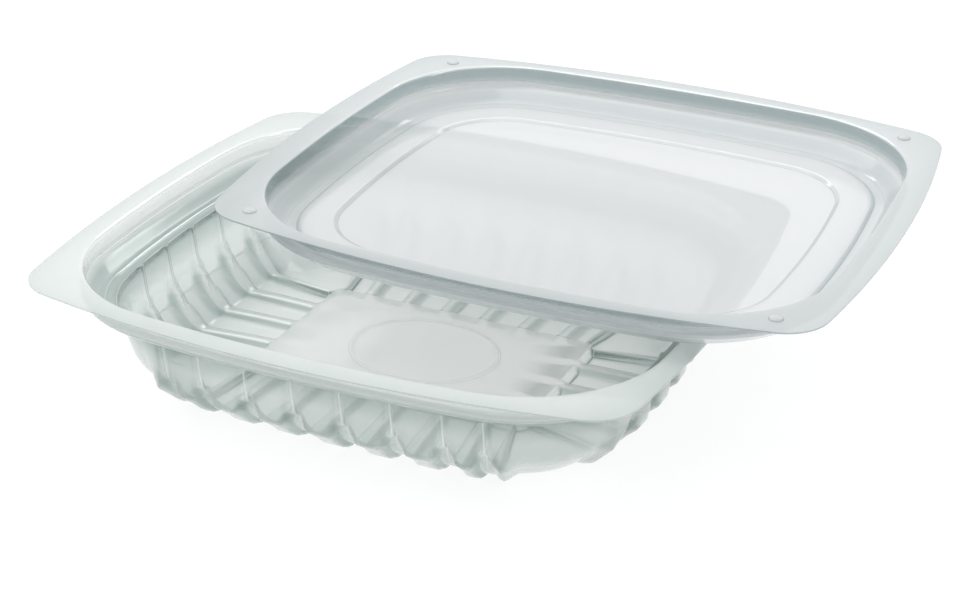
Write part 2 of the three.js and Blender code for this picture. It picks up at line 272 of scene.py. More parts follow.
# %% The panel's outlines, from the oval ring in its middle to its foot
panel_at = np.where(tray_columns["side"] == SHORT, panel_place(tray_columns["place"], SHORT_RIBS),
                    panel_place(tray_columns["place"], LONG_RIBS))


def round_rectangle(a, b, r):
    """A quarter's columns on the panel's outline. Those beyond its straight sides share its corner."""
    side = tray_columns["side"]
    turning = (side == CORNER)
    turning |= (side == SHORT) & (panel_at > PANEL_FOOT[1] - PANEL_FOOT[2])
    turning |= (side == LONG) & (panel_at > PANEL_FOOT[0] - PANEL_FOOT[2])
    order = np.cumsum(turning) - 0.5
    turn = order / turning.sum() * math.pi / 2
    on_corner = np.stack([a - r + r * np.cos(turn), b - r + r * np.sin(turn)], -1)
    on_short = np.stack([np.full(len(side), a), panel_at], -1)
    on_long = np.stack([panel_at, np.full(len(side), b)], -1)
    straight = np.where((side == SHORT)[:, None], on_short, on_long)
    return np.where(turning[:, None], on_corner, straight)


def oval(size):
    """A quarter's columns on an oval of this share of the ring's size."""
    edge = round_rectangle(*PANEL_TOP)
    angle = np.arctan2(edge[:, 1] / PANEL_TOP[1], edge[:, 0] / PANEL_TOP[0])
    return np.stack([OVAL[0] * size * np.cos(angle), OVAL[1] * size * np.sin(angle)], -1)


def at_height(plan, height):
    return np.concatenate([plan, np.full((len(plan), 1), float(height))], 1)

# %% [markdown]
# The middle of the panel has an oval field. Here it is a plain raised ring with a smooth middle.
#
# Every row also has a painted shade, a number that the material reads. Above zero it paints shade there: the
# sheet passes less light and its milk is darker and greener. Below zero it paints light: the sheet is as
# milky as if it lay flat, and its grooves get no painted shade. SHADES and RIB_WIDTHS go with the rows of
# the
# profiles: towards its nose a rib grows up to twice as wide. The flutes rise out of the floor's edge by the
# shares in FLUTE_SHARES.

# %% Rows of the panel, from its middle to its edge
RING_HEIGHT = 0.14
RING_ROWS = ((0.1, 0), (0.5, 0), (0.93, 0), (0.955, 0), (0.97, RING_HEIGHT), (1.0, RING_HEIGHT),
             (1.015, 0), (1.04, 0), (1.15, 0))
PANEL_INSETS = (3.0, 0.9, 0.3, 0.0)
PANEL_EDGE_DROP = 0.1
PANEL_SHADE = 0.0
panel_height = TRAY_HEIGHT - PANEL_DEPTH
valley_rows = []
rib_rows = []
flute_rows = []
shade_rows = []
width_rows = []
no_flute = np.zeros((len(panel_at), 3))


def add_row(valley, flute=no_flute, shade=PANEL_SHADE, rib=None, rib_width=1.0):
    valley_rows.append(valley)
    rib_rows.append(valley if rib is None else rib)
    flute_rows.append(flute)
    shade_rows.append(np.full((len(panel_at), 1), shade))
    width_rows.append(np.full((len(panel_at), 1), rib_width))


for size, raised in RING_ROWS:
    add_row(at_height(oval(size), panel_height + raised))
for inset in PANEL_INSETS:
    a, b, r = PANEL_TOP
    drop = PANEL_EDGE_DROP if inset == 0 else 0
    add_row(at_height(round_rectangle(a - inset, b - inset, r), panel_height - drop))
print("rows of the panel", len(valley_rows))

# %% Rows of the floor and the lower wall
start = round_rectangle(*PANEL_FOOT)
end = on_outline(WALL_FOOT, tray_columns, REACH_SHORT, REACH_LONG)
ledge = on_outline(WALL_TOP, tray_columns, REACH_SHORT, REACH_LONG)
outward = np.zeros((len(panel_at), 3))
outward[tray_columns["side"] == SHORT, 0] = 1
outward[tray_columns["side"] == LONG, 1] = 1
from_end = np.minimum(tray_columns["share"], 1 - tray_columns["share"])
in_corner = np.clip(from_end / CORNER_BLEND, 0, 1)
in_corner = (in_corner * in_corner * (3 - 2 * in_corner))[:, None]
FLUTE_SHARES = {25.0: 1.0, 28.0: 1.0, 29.8: 0.9, 31.1: 0.7, 32.7: 0.4}
# Painted shade along the floor and the lower wall, darkest where the floor turns up towards the wall.
SHADES = [0.0, 0.05, 0.1, 0.3, 0.45, 0.45, 0.35, 0.3, 0.25, 0.2, 0.15, 0.15]
RIB_WIDTHS = [1.0, 1.0, 1.0, 1.1, 1.3, 1.7, 2.0, 1.9, 1.7, 1.5, 1.4, 1.3]
for k, ((share, depth), (rib_share, rib_depth)) in enumerate(zip(VALLEY_PROFILE, RIB_PROFILE)):
    corner = start + (ledge - start) * CORNER_SHARES[k]
    valley = (start + (end - start) * share) * (1 - in_corner) + corner * in_corner
    rib = start + (end - start) * rib_share
    add_row(at_height(valley, TRAY_HEIGHT - depth), outward * FLUTE_SHARES.get(depth, 0.0), SHADES[k],
            at_height(rib, TRAY_HEIGHT - rib_depth), RIB_WIDTHS[k])
print("rows with the floor", len(valley_rows))

# %% [markdown]
# Above the fluted wall come the ledge, the groove for the lid's bead, and the flange. Each row is an outline
# (half its length and width, the bow of its short and its long sides, its corner radius), a depth and a
# painted shade: darker on the ledge's outer part and the slope up to the bead, a little darker on the
# flange, lighter and milkier on the bead and the wall under the flange, where it is below zero. The flutes
# run a little way onto the ledge and die out there.

# %% Rows of the upper wall, the ledge, the groove and the flange
# Painted shade on the wall and the ledge, and a painted shadow in a band at the top of the wall, under the
# ledge.
WALL_SHADE = 0.15
LEDGE_SHADE = 0.9
UPPER_WALL = ((18.0, WALL_SHADE), (15.5, 0.4), (13.5, 0.8), (11.6, 0.8))
FLUTES_ON_LEDGE = ((0.3, 0.9), (1.6, 0.2))
# The seventh number is the painted shade: dark on the ledge, light and milky on the bead below zero.
TRAY_RIM = [
    (82.0, 70.6, 1.7, 2.0, 35, 10.85, 1.0), (82.4, 71.0, 1.7, 2.0, 35, 10.4, 1.0),
    (84.0, 72.6, 1.6, 2.1, 37, 10.35, 0.95), (84.7, 73.3, 1.6, 2.1, 37, 10.2, 0.8),
    (87.7, 76.3, 1.3, 2.4, 42, 8.1, 0.9), (88.6, 77.2, 1.3, 2.4, 42, 7.5, 0.3),
    (88.95, 77.55, 1.3, 2.4, 42, 6.8, -0.7), (88.6, 77.2, 1.3, 2.4, 42, 6.0, -0.95),
    (87.9, 76.5, 1.3, 2.4, 42, 5.4, -0.8), (88.0, 76.6, 1.3, 2.4, 42, 3.0, -0.6),
    (88.2, 76.8, 1.3, 2.4, 42, 0.9, -0.5), (88.5, 77.1, 1.3, 2.4, 42, 0.2, 0.2),
    (89.2, 77.8, 1.4, 2.5, 42, 0.0, 0.2), (90.5, 79.1, 1.8, 3.0, 40, 0.0, 0.3),
    (94.5, 83.5, 4.23, 7.43, 15, 0.0, 0.4), (94.85, 83.85, 4.35, 7.55, 14.4, 0.0, 0.4),
    (94.99, 83.99, 4.4, 7.6, 14.2, 0.0, 0.4),
]
wall_start = valley_rows[-1][:, :2]
for depth, shade in UPPER_WALL:
    climb = (VALLEY_PROFILE[-1][1] - depth) / (VALLEY_PROFILE[-1][1] - LEDGE_DEPTH)
    add_row(at_height(wall_start + (ledge - wall_start) * climb, TRAY_HEIGHT - depth), outward, shade)
add_row(at_height(ledge, TRAY_HEIGHT - LEDGE_DEPTH), outward, LEDGE_SHADE)
for number, (a, b, bow_a, bow_b, r, depth, shade) in enumerate(TRAY_RIM):
    outline = Outline(a, b, bow_a, bow_b, r)
    spread_short = outline.corner_y / WALL_TOP.corner_y
    spread_long = outline.corner_x / WALL_TOP.corner_x
    spread = np.where(tray_columns["side"] == SHORT, spread_short, spread_long)
    spaced = dict(tray_columns, place=tray_columns["place"] * spread)
    plan = on_outline(outline, spaced, REACH_SHORT * spread_short, REACH_LONG * spread_long)
    if number == 0:
        step = (plan - ledge) / np.linalg.norm(plan - ledge, axis=1, keepdims=True)
        for far, flute in FLUTES_ON_LEDGE:
            add_row(at_height(ledge + far * step, TRAY_HEIGHT - LEDGE_DEPTH), outward * flute, LEDGE_SHADE)
    add_row(at_height(plan, TRAY_HEIGHT - depth), shade=shade)
print("rows with the flange", len(valley_rows))

# %% [markdown]
# The rows are softened, thinned and mirrored. The blank that comes out has no ribs yet, but every point
# knows the way to the rib's surface, the way out of the wall, and its distance from the nearest rib. The
# steep flanks of the ribs get more painted shade than the crowns.

# %% The softened rows, and each column's distance from the nearest rib
TRAY_ROW_COUNT = 96
FAR_FROM_RIBS = 1e3
profile_column = len(tray_columns["side"]) - 1
nets = [soften(np.array(rows)) for rows in (valley_rows, rib_rows, flute_rows, shade_rows, width_rows)]
kept = useful_rows(nets[0][:, profile_column], TRAY_ROW_COUNT)
valley_net, rib_net, flute_net, shade_net, width_net = [net[kept] for net in nets]

nearest = np.full(len(panel_at), FAR_FROM_RIBS)
for side, ribs in ((SHORT, SHORT_RIBS), (LONG, LONG_RIBS)):
    for center in ribs["wall"]:
        here = tray_columns["side"] == side
        nearest = np.where(here, np.minimum(nearest, np.abs(tray_columns["place"] - center)), nearest)
from_rib = np.broadcast_to(nearest[None, :, None], width_net.shape)
print("rows kept", len(kept), "of", len(nets[0]))

# %% More painted shade on the ribs' flanks
FLANK_SHADE = 0.6
FLANK_AT = 1.9
FLANK_REACH = 0.6
FULL_LIFT = 2.0
rib_lift = np.linalg.norm(rib_net - valley_net, axis=2, keepdims=True)
on_flank = np.exp(-((from_rib / width_net - FLANK_AT) / FLANK_REACH) ** 2)
shade_net = shade_net + FLANK_SHADE * on_flank * np.clip(rib_lift / FULL_LIFT, 0, 1)
print("shade from", round(float(shade_net.min()), 2), "to", round(float(shade_net.max()), 2))

# %% The tray's blank
def round_all(values):
    """Mirrors one number per point round all four quarters."""
    as_height = np.concatenate([np.zeros((*values.shape[:2], 2)), values], 2)
    return whole_turn(as_height)[:, :, 2]


tray_net = whole_turn(valley_net) + TRAY_PLACE
blank = net_mesh("tray_sheet", tray_net, [
    ("to_rib", "FLOAT_VECTOR", whole_turn(rib_net - valley_net) * MM),
    ("out_of_wall", "FLOAT_VECTOR", whole_turn(flute_net) * MM),
    ("from_rib", "FLOAT", round_all(from_rib / width_net)),
    ("flute_place", "FLOAT", round_all(from_rib)),
    ("shade", "FLOAT", round_all(shade_net)),
])

# %% [markdown]
# ## Clear plastic
# A thin clear sheet lets most light straight through and mirrors some, more so at a low angle. The rest is a
# faint milk that scatters light, strongest where the sheet lies flat; where it stands up the milk is darker,
# as painted shade. Grooves and shaded rows get a painted shade, grey and a little green, and ridges get a
# painted highlight: whiter milk and a stronger mirror. Faint waves from the pressing make the reflections
# wander. The bends are measured on the mesh and stored on its points: above zero on a ridge, below it in a
# groove.

# %% Measuring how tightly the sheet bends at each point
FULL_BEND_RADIUS = 0.5
SHORTEST_STEP = 0.02


def bend_along(normals, places, axis):
    """How tightly a net bends along one way, above zero on a ridge and below it in a groove."""
    turned = np.roll(normals, -1, axis) - normals
    step = np.roll(places, -1, axis) - places
    length = np.maximum(np.linalg.norm(step, axis=2), SHORTEST_STEP * MM)
    bend = (turned * step).sum(2) / length ** 2 * FULL_BEND_RADIUS * MM
    before = np.roll(bend, 1, axis)
    flatter = np.minimum(np.abs(bend), np.abs(before)) * np.sign(bend)
    return np.where(bend * before > 0, flatter, 0)


def store_bends(piece, rows):
    mesh = piece.data
    normals = np.empty(len(mesh.vertices) * 3, np.float32)
    places = np.empty(len(mesh.vertices) * 3, np.float32)
    mesh.vertex_normals.foreach_get("vector", normals)
    mesh.vertices.foreach_get("co", places)
    normals = normals.reshape(-1, 3)[1:].reshape(rows, -1, 3)
    places = places.reshape(-1, 3)[1:].reshape(rows, -1, 3)
    between_rows = bend_along(normals, places, 0)
    between_rows[[0, -1]] = 0
    between_columns = bend_along(normals, places, 1)
    bend = np.where(np.abs(between_rows) > np.abs(between_columns), between_rows, between_columns)
    bend = np.concatenate([[0], np.clip(bend, -1, 1).ravel()]).astype(np.float32)
    mesh.attributes.new("bend", "FLOAT", "POINT").data.foreach_set("value", bend)
    print(piece.name, "share of points on tight bends", round(float((np.abs(bend) > 0.5).mean()), 3))

# %% Where the bends, the shade and the slope begin and end to count
WHITE = (1.0, 1.0, 1.0)
# The whiter milk of the painted highlight on ridges.
RIDGE_HIGHLIGHT_WHITE = (0.93, 0.95, 0.945, 1)
GROOVE_BENDS = (-0.07, -0.5)
RIDGE_BENDS = (0.06, 0.4)
CALM_SHADES = (-0.3, 0.0)
FILM_SLOPES = (0.0, 0.97)
HAZE_SLOPES = (0.1, 0.95)
MILK_SLOPES = (0.2, 0.95)
GRAZING_FROM = 0.8
WAVES_PER_METRE = 45.0
WAVE_HEIGHT = 0.0006
WAVE_STRENGTH = 0.12
GLOSS_ROUGHNESS = 0.08
MIRROR_SHARES = (0.04, 0.9)
MIRROR_POWER = 5.0
# The stronger mirror of the painted highlight on ridges.
RIDGE_GLINT = 0.18

# %% A material for pressed clear sheet
def clear_sheet(name, level, steep, edge, painted_shade_tint, level_haze, shaded_steep_haze, level_share, steep_share, ridge_highlight_milk,
                from_behind):
    """level and steep are what one face lets through where it lies flat and where it stands up, the hazes
    and shares are the milk's colours and amounts there, the steep haze darker as painted shade on the walls,
    and from_behind is how much of it glows through. The edge colour tints the sheet seen at a low angle and
    paints shade into its grooves, the dark tint is the painted shade of rows whose shade is above zero, and
    the ridge milk is the extra milk of a painted highlight on ridges."""
    material = bpy.data.materials.new(name)
    material.use_nodes = True
    nodes, links = material.node_tree.nodes, material.node_tree.links
    nodes.clear()

    def node(kind, inputs=(), **values):
        made = nodes.new(kind)
        for key, value in values.items():
            setattr(made, key, value)
        for key, value in dict(inputs).items():
            if isinstance(value, bpy.types.NodeSocket):
                links.new(value, made.inputs[key])
            else:
                made.inputs[key].default_value = value
        return made

    def ramp(factor, *stops):
        made = node("ShaderNodeValToRGB", {"Fac": factor})
        elements = made.color_ramp.elements
        for number, (position, colour) in enumerate(stops):
            element = elements[number] if number < 2 else elements.new(position)
            element.position = position
            element.color = (*colour, 1)
        return made.outputs["Color"]

    def multiply(a, b):
        mix = node("ShaderNodeMix", {6: a, 7: b, 0: 1.0}, data_type="RGBA", blend_type="MULTIPLY")
        return mix.outputs[2]

    def maths(operation, *values):
        return node("ShaderNodeMath", enumerate(values), operation=operation).outputs[0]

    def spread(value, ends, to=(0.0, 1.0)):
        inputs = {"Value": value, "From Min": ends[0], "From Max": ends[1], "To Min": to[0], "To Max": to[1]}
        return node("ShaderNodeMapRange", inputs).outputs[0]

    def stored(label):
        return node("ShaderNodeAttribute", attribute_name=label).outputs["Fac"]

    def blend(share, first, second):
        return node("ShaderNodeMixShader", {0: share, 1: first, 2: second}).outputs[0]

    place = node("ShaderNodeTexCoord")
    waves = node("ShaderNodeTexNoise", {"Vector": place.outputs["Object"], "Scale": WAVES_PER_METRE,
                                        "Detail": 2.0})
    bump = node("ShaderNodeBump", {"Height": waves.outputs["Fac"], "Strength": WAVE_STRENGTH,
                                   "Distance": WAVE_HEIGHT})
    normal = bump.outputs["Normal"]
    facing = node("ShaderNodeLayerWeight", {"Blend": 0.5, "Normal": normal}).outputs["Facing"]
    upright = node("ShaderNodeSeparateXYZ", {0: place.outputs["Normal"]}).outputs["Z"]
    shade = stored("shade")
    bend = stored("bend")
    # A shade below zero paints light: the sheet counts as lying flat and gets the flat parts' thicker,
    # brighter milk.
    lying = maths("MAXIMUM", maths("ABSOLUTE", upright), maths("MULTIPLY", shade, -1.0))
    # Painted highlight on ridges, where the bend is above zero.
    ridge_highlight = spread(bend, RIDGE_BENDS)
    # Painted shade in grooves, where the bend is below zero; none where a row's shade is below zero.
    groove_shade = maths("MULTIPLY", spread(bend, GROOVE_BENDS), spread(shade, CALM_SHADES))
    # Painted shade: grooves, and rows whose shade is above zero, are darkened towards grey-green.
    painted_darkening = multiply(ramp(groove_shade, (0.0, WHITE), (1.0, edge)), ramp(shade, (0.0, WHITE), (1.0, painted_shade_tint)))

    slope = ramp(lying, (FILM_SLOPES[0], steep), (FILM_SLOPES[1], level))
    grazing = ramp(facing, (0.0, WHITE), (1.0, edge), (GRAZING_FROM, WHITE))
    through = multiply(multiply(slope, grazing), painted_darkening)
    film = node("ShaderNodeBsdfTransparent", {"Color": through}).outputs[0]

    # The milk is darker where the sheet stands up: painted shade on the walls.
    haze = ramp(lying, (HAZE_SLOPES[0], shaded_steep_haze), (HAZE_SLOPES[1], level_haze))
    # Ridges get a whiter milk: painted highlight.
    haze_with_ridge_highlight = node("ShaderNodeMix", {0: ridge_highlight, 6: haze, 7: RIDGE_HIGHLIGHT_WHITE}, data_type="RGBA").outputs[2]
    milk_with_painted_light = multiply(haze_with_ridge_highlight, painted_darkening)
    front_milk = node("ShaderNodeBsdfDiffuse", {"Color": milk_with_painted_light, "Normal": normal}).outputs[0]
    back_milk = node("ShaderNodeBsdfTranslucent", {"Color": milk_with_painted_light, "Normal": normal}).outputs[0]
    milk = blend(from_behind, front_milk, back_milk)
    share = spread(lying, MILK_SLOPES, (steep_share, level_share))
    # Ridges also get more milk: painted highlight.
    body = blend(maths("ADD", share, maths("MULTIPLY", ridge_highlight, ridge_highlight_milk)), film, milk)

    gloss = {"Color": (1, 1, 1, 1), "Roughness": GLOSS_ROUGHNESS, "Normal": normal}
    shine = node("ShaderNodeBsdfGlossy", gloss).outputs[0]
    mirror = spread(maths("POWER", facing, MIRROR_POWER), (0.0, 1.0), MIRROR_SHARES)
    # Ridges also get a stronger mirror, a painted highlight, on top of the mirror that grows at a low angle.
    mirror_with_ridge_highlight = maths("MULTIPLY_ADD", ridge_highlight, RIDGE_GLINT, mirror)
    node("ShaderNodeOutputMaterial", {"Surface": blend(mirror_with_ridge_highlight, body, shine)})
    print(name, len(nodes), "nodes")
    return material

# %% The two plastics, the tray's a little greener and the lid's a little bluer
tray_plastic = clear_sheet("tray clear plastic", level=(0.88, 0.893, 0.888), steep=(0.93, 0.945, 0.94),
                           edge=(0.52, 0.60, 0.575), painted_shade_tint=(0.62, 0.68, 0.665),
                           level_haze=(0.98, 0.985, 0.98), shaded_steep_haze=(0.92, 0.945, 0.935),
                           level_share=0.42, steep_share=0.18, ridge_highlight_milk=0.35, from_behind=0.35)
lid_plastic = clear_sheet("lid clear plastic", level=(0.70, 0.712, 0.716), steep=(0.79, 0.813, 0.817),
                          edge=(0.58, 0.65, 0.655), painted_shade_tint=(0.65, 0.71, 0.715),
                          level_haze=(0.965, 0.97, 0.973), shaded_steep_haze=(0.80, 0.825, 0.83),
                          level_share=0.43, steep_share=0.2, ridge_highlight_milk=0.15, from_behind=0.15)

# %% [markdown]
# ## Pressing the ribs and flutes
# This is a job for Geometry Nodes, because one rule makes all 26 ribs and every flute: a point moves to the
# rib's surface where it is close to a rib, and out of the wall where it is far from one. The sizes are the
# tree's inputs, so a rib can be made wider without touching the net.

# %% What both trees need: a product, and an ending that makes copies real and gives them their material
def product(tree, a, b):
    made = tree.nodes.new("ShaderNodeMath")
    made.operation = "MULTIPLY"
    tree.links.new(a, made.inputs[0])
    tree.links.new(b, made.inputs[1])
    return made.outputs[0]


def end_tree(tree, geometry, material):
    realize = tree.nodes.new("GeometryNodeRealizeInstances")
    paint = tree.nodes.new("GeometryNodeSetMaterial")
    result = tree.nodes.new("NodeGroupOutput")
    tree.links.new(geometry, realize.inputs["Geometry"])
    tree.links.new(realize.outputs["Geometry"], paint.inputs["Geometry"])
    tree.links.new(material, paint.inputs["Material"])
    tree.links.new(paint.outputs["Geometry"], result.inputs["Geometry"])

# %% The tree that presses the ribs
FLUTE_SWING = 0.4
FLUTE_TOP_HALF = 0.35
FLUTE_FOOT_HALF = 1.5


def press_tree():
    tree = bpy.data.node_groups.new("Press ribs and flutes", "GeometryNodeTree")
    face = tree.interface
    face.new_socket("Geometry", in_out="INPUT", socket_type="NodeSocketGeometry")
    for label, value in (("Rib top half width", RIB_TOP_HALF), ("Rib foot half width", RIB_FOOT_HALF),
                         ("Flute swing", FLUTE_SWING), ("Flute top half width", FLUTE_TOP_HALF),
                         ("Flute foot half width", FLUTE_FOOT_HALF)):
        face.new_socket(label, in_out="INPUT", socket_type="NodeSocketFloat").default_value = value
    face.new_socket("Material", in_out="INPUT", socket_type="NodeSocketMaterial")
    face.new_socket("Geometry", in_out="OUTPUT", socket_type="NodeSocketGeometry")
    nodes, links = tree.nodes, tree.links
    given = nodes.new("NodeGroupInput").outputs

    def stored(label, kind):
        made = nodes.new("GeometryNodeInputNamedAttribute")
        made.data_type = kind
        made.inputs["Name"].default_value = label
        return made.outputs["Attribute"]

    def smooth_step(value, low, high, to_low, to_high):
        made = nodes.new("ShaderNodeMapRange")
        made.interpolation_type = "SMOOTHSTEP"
        links.new(value, made.inputs["Value"])
        links.new(low, made.inputs["From Min"])
        links.new(high, made.inputs["From Max"])
        made.inputs["To Min"].default_value = to_low
        made.inputs["To Max"].default_value = to_high
        return made.outputs["Result"]

    def scaled(vector, factor):
        made = nodes.new("ShaderNodeVectorMath")
        made.operation = "SCALE"
        links.new(vector, made.inputs[0])
        links.new(factor, made.inputs["Scale"])
        return made.outputs["Vector"]

    on_rib = smooth_step(stored("from_rib", "FLOAT"), given["Rib top half width"],
                         given["Rib foot half width"], 1.0, 0.0)
    side = smooth_step(stored("flute_place", "FLOAT"), given["Flute top half width"],
                       given["Flute foot half width"], -1.0, 1.0)
    rib_move = scaled(stored("to_rib", "FLOAT_VECTOR"), on_rib)
    flute_move = scaled(stored("out_of_wall", "FLOAT_VECTOR"), product(tree, side, given["Flute swing"]))
    both = nodes.new("ShaderNodeVectorMath")
    links.new(rib_move, both.inputs[0])
    links.new(flute_move, both.inputs[1])
    move = nodes.new("GeometryNodeSetPosition")
    links.new(given["Geometry"], move.inputs["Geometry"])
    links.new(both.outputs["Vector"], move.inputs["Offset"])
    end_tree(tree, move.outputs["Geometry"], given["Material"])
    return tree

# %% Running a tree on a piece, and giving a sheet its thickness
def grow(piece, tree, inputs):
    """Runs a tree on a piece and keeps what it makes as the piece's own mesh."""
    modifier = piece.modifiers.new(tree.name, "NODES")
    modifier.node_group = tree
    for socket in tree.interface.items_tree:
        if socket.in_out == "INPUT" and socket.name in inputs:
            modifier[socket.identifier] = inputs[socket.name]
    graph = bpy.context.evaluated_depsgraph_get()
    made = bpy.data.meshes.new_from_object(piece.evaluated_get(graph))
    old = piece.data
    piece.modifiers.remove(modifier)
    piece.data = made
    bpy.data.meshes.remove(old)
    made.name = piece.name
    return piece


def give_thickness(piece):
    """The sheet's lower face lies one thickness under the upper one, and a rim closes it."""
    solid = piece.modifiers.new("Sheet thickness", "SOLIDIFY")
    solid.thickness = SHEET * MM
    solid.offset = -1
    solid.use_rim = True
    return piece

# %% The tray
tray = grow(blank, press_tree(), {"Material": tray_plastic})
store_bends(tray, len(tray_net))
give_thickness(tray)
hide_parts("tray")
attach(tray, "root")
print("tray", len(tray.data.vertices), "points")

# %% [markdown]
# ## The lid
# The lid has no ribs. From the middle out it has a flat panel, one step up, a trough, a bead and the flange.
# On a real container the trough presses into the tray and the bead locks under its edge. These two are sized
# only to look right side by side: across the width this bead is too wide for the groove. The lid's turn by
# less than half a degree is put into the mesh.

# %% Rows of the lid
# Each row: half length, half width, bows of the short and long sides, corner radius, depth and a painted
# shade: darker on the upright wall under the flange, a little on the step, slope and flange, and lighter and
# milkier on the bead, where it is below zero.
LID_PROFILE = [
    (66.2, 56.5, 1.4, 2.0, 23, 11.5, 0.0), (67.2, 57.5, 1.4, 2.0, 24, 11.5, 0.0),
    (67.6, 57.9, 1.4, 2.0, 24.2, 11.35, 0.3), (68.4, 58.7, 1.4, 2.0, 24.8, 10.85, 0.3),
    (68.8, 59.1, 1.4, 2.0, 25, 10.7, 0.0), (70.0, 60.3, 1.4, 2.0, 26, 10.7, 0.0),
    (76.6, 67.8, 1.3, 1.8, 33.5, 10.7, 0.0), (77.5, 68.7, 1.3, 1.8, 34, 10.75, 0.1),
    (78.5, 69.7, 1.3, 1.8, 35, 11.45, 0.3), (79.2, 70.5, 1.3, 1.8, 35.5, 11.5, 0.1),
    (81.2, 72.7, 1.2, 1.7, 38, 11.5, 0.1), (81.8, 73.4, 1.2, 1.6, 38.4, 11.3, 0.3),
    (83.2, 74.8, 1.2, 1.6, 39, 10.3, 0.35), (85.6, 77.2, 1.1, 1.5, 41, 8.0, 0.25),
    (86.5, 78.1, 1.1, 1.5, 41, 7.3, -0.3), (86.85, 78.45, 1.1, 1.5, 41, 6.6, -0.5),
    (86.5, 78.1, 1.1, 1.5, 41, 5.8, -0.3), (85.7, 77.3, 1.1, 1.5, 41, 5.0, 0.4),
    (85.9, 77.5, 1.1, 1.5, 41, 2.8, 0.8), (86.2, 77.8, 1.1, 1.5, 41, 0.9, 0.8),
    (86.5, 78.1, 1.1, 1.5, 41, 0.2, 0.4), (87.2, 78.8, 1.2, 1.6, 41, 0.0, 0.1),
    (88.5, 80.1, 1.7, 2.5, 38, 0.0, 0.3), (94.5, 83.5, 4.23, 7.43, 15, 0.0, 0.4),
    (94.84, 83.84, 4.35, 7.55, 14.4, 0.0, 0.4), (94.99, 83.99, 4.4, 7.6, 14.2, 0.0, 0.4),
]
LID_ROW_COUNT = 84
LID_SIDE_COLUMNS = 21
LID_CORNER_COLUMNS = 26
PANEL_SHARES = (0.05, 0.5, 0.9)
side_shares = np.linspace(0, 1, LID_SIDE_COLUMNS)
lid_quarter = quarter_columns(side_shares, LID_CORNER_COLUMNS, side_shares)
first = Outline(*LID_PROFILE[0][:5])
lid_rows = [(first, share, LID_PROFILE[0][5], 0.0) for share in PANEL_SHARES]
lid_rows += [(Outline(*row[:5]), 1.0, row[5], row[6]) for row in LID_PROFILE]

# %% The lid's net
lid_net = []
lid_shades = []
for outline, share, depth, shade in lid_rows:
    reach = np.where(lid_quarter["side"] == SHORT, outline.short_reach, outline.long_reach)
    spaced = dict(lid_quarter, place=lid_quarter["place"] * reach)
    plan = on_outline(outline, spaced, outline.short_reach, outline.long_reach) * share
    lid_net.append(at_height(plan, -depth))
    lid_shades.append(np.full((len(plan), 1), shade))
lid_net = soften(np.array(lid_net))
lid_shades = soften(np.array(lid_shades))
lid_kept = useful_rows(lid_net[:, -1], LID_ROW_COUNT)
lid_net = whole_turn(lid_net[lid_kept])
lid_shades = round_all(lid_shades[lid_kept])


def lid_place(points):
    """Turns and moves points from the lid's own middle to where the lid lies."""
    c = math.cos(LID_TURN)
    s = math.sin(LID_TURN)
    turned = points @ np.array([[c, s, 0], [-s, c, 0], [0, 0, 1]])
    return turned + LID_PLACE


lid = net_mesh("lid_sheet", lid_place(lid_net), [("shade", "FLOAT", lid_shades)])
lid.data.materials.append(lid_plastic)
store_bends(lid, len(lid_net))
give_thickness(lid)
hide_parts("lid")
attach(lid, "root")

# %% [markdown]
# ## Stacking buttons
# A small round button stands near each corner of the lid's flange and keeps stacked containers a little
# apart. Four copies of one dome are a natural job for Geometry Nodes: the tree puts it on four points, and
# its radius and height are inputs. The dome is a ball whose lower half is pressed flat.

# %% The tree that sets a dome on each point
BUTTON_AT = (77.6, 68.6)
BUTTON_RADIUS = 2.1
BUTTON_HEIGHT = 0.8
BUTTON_SINK = 0.1
BALL_SEGMENTS = 32
BALL_RINGS = 16


def button_tree():
    tree = bpy.data.node_groups.new("Set stacking buttons", "GeometryNodeTree")
    face = tree.interface
    face.new_socket("Geometry", in_out="INPUT", socket_type="NodeSocketGeometry")
    face.new_socket("Radius", in_out="INPUT", socket_type="NodeSocketFloat")
    face.new_socket("Height", in_out="INPUT", socket_type="NodeSocketFloat")
    face.new_socket("Material", in_out="INPUT", socket_type="NodeSocketMaterial")
    face.new_socket("Geometry", in_out="OUTPUT", socket_type="NodeSocketGeometry")
    nodes, link = tree.nodes, tree.links.new
    given = nodes.new("NodeGroupInput").outputs
    ball = nodes.new("GeometryNodeMeshUVSphere")
    ball.inputs["Segments"].default_value = BALL_SEGMENTS
    ball.inputs["Rings"].default_value = BALL_RINGS
    ball.inputs["Radius"].default_value = 1.0
    place = nodes.new("GeometryNodeInputPosition")
    parts = nodes.new("ShaderNodeSeparateXYZ")
    link(place.outputs[0], parts.inputs[0])
    upper = nodes.new("ShaderNodeMath")
    upper.operation = "MAXIMUM"
    upper.inputs[1].default_value = 0.0
    link(parts.outputs["Z"], upper.inputs[0])
    joined = nodes.new("ShaderNodeCombineXYZ")
    for axis in "XY":
        link(product(tree, parts.outputs[axis], given["Radius"]), joined.inputs[axis])
    link(product(tree, upper.outputs[0], given["Height"]), joined.inputs["Z"])
    dome = nodes.new("GeometryNodeSetPosition")
    link(ball.outputs["Mesh"], dome.inputs["Geometry"])
    link(joined.outputs[0], dome.inputs["Position"])
    copies = nodes.new("GeometryNodeInstanceOnPoints")
    link(given["Geometry"], copies.inputs["Points"])
    link(dome.outputs["Geometry"], copies.inputs["Instance"])
    end_tree(tree, copies.outputs["Instances"], given["Material"])
    return tree

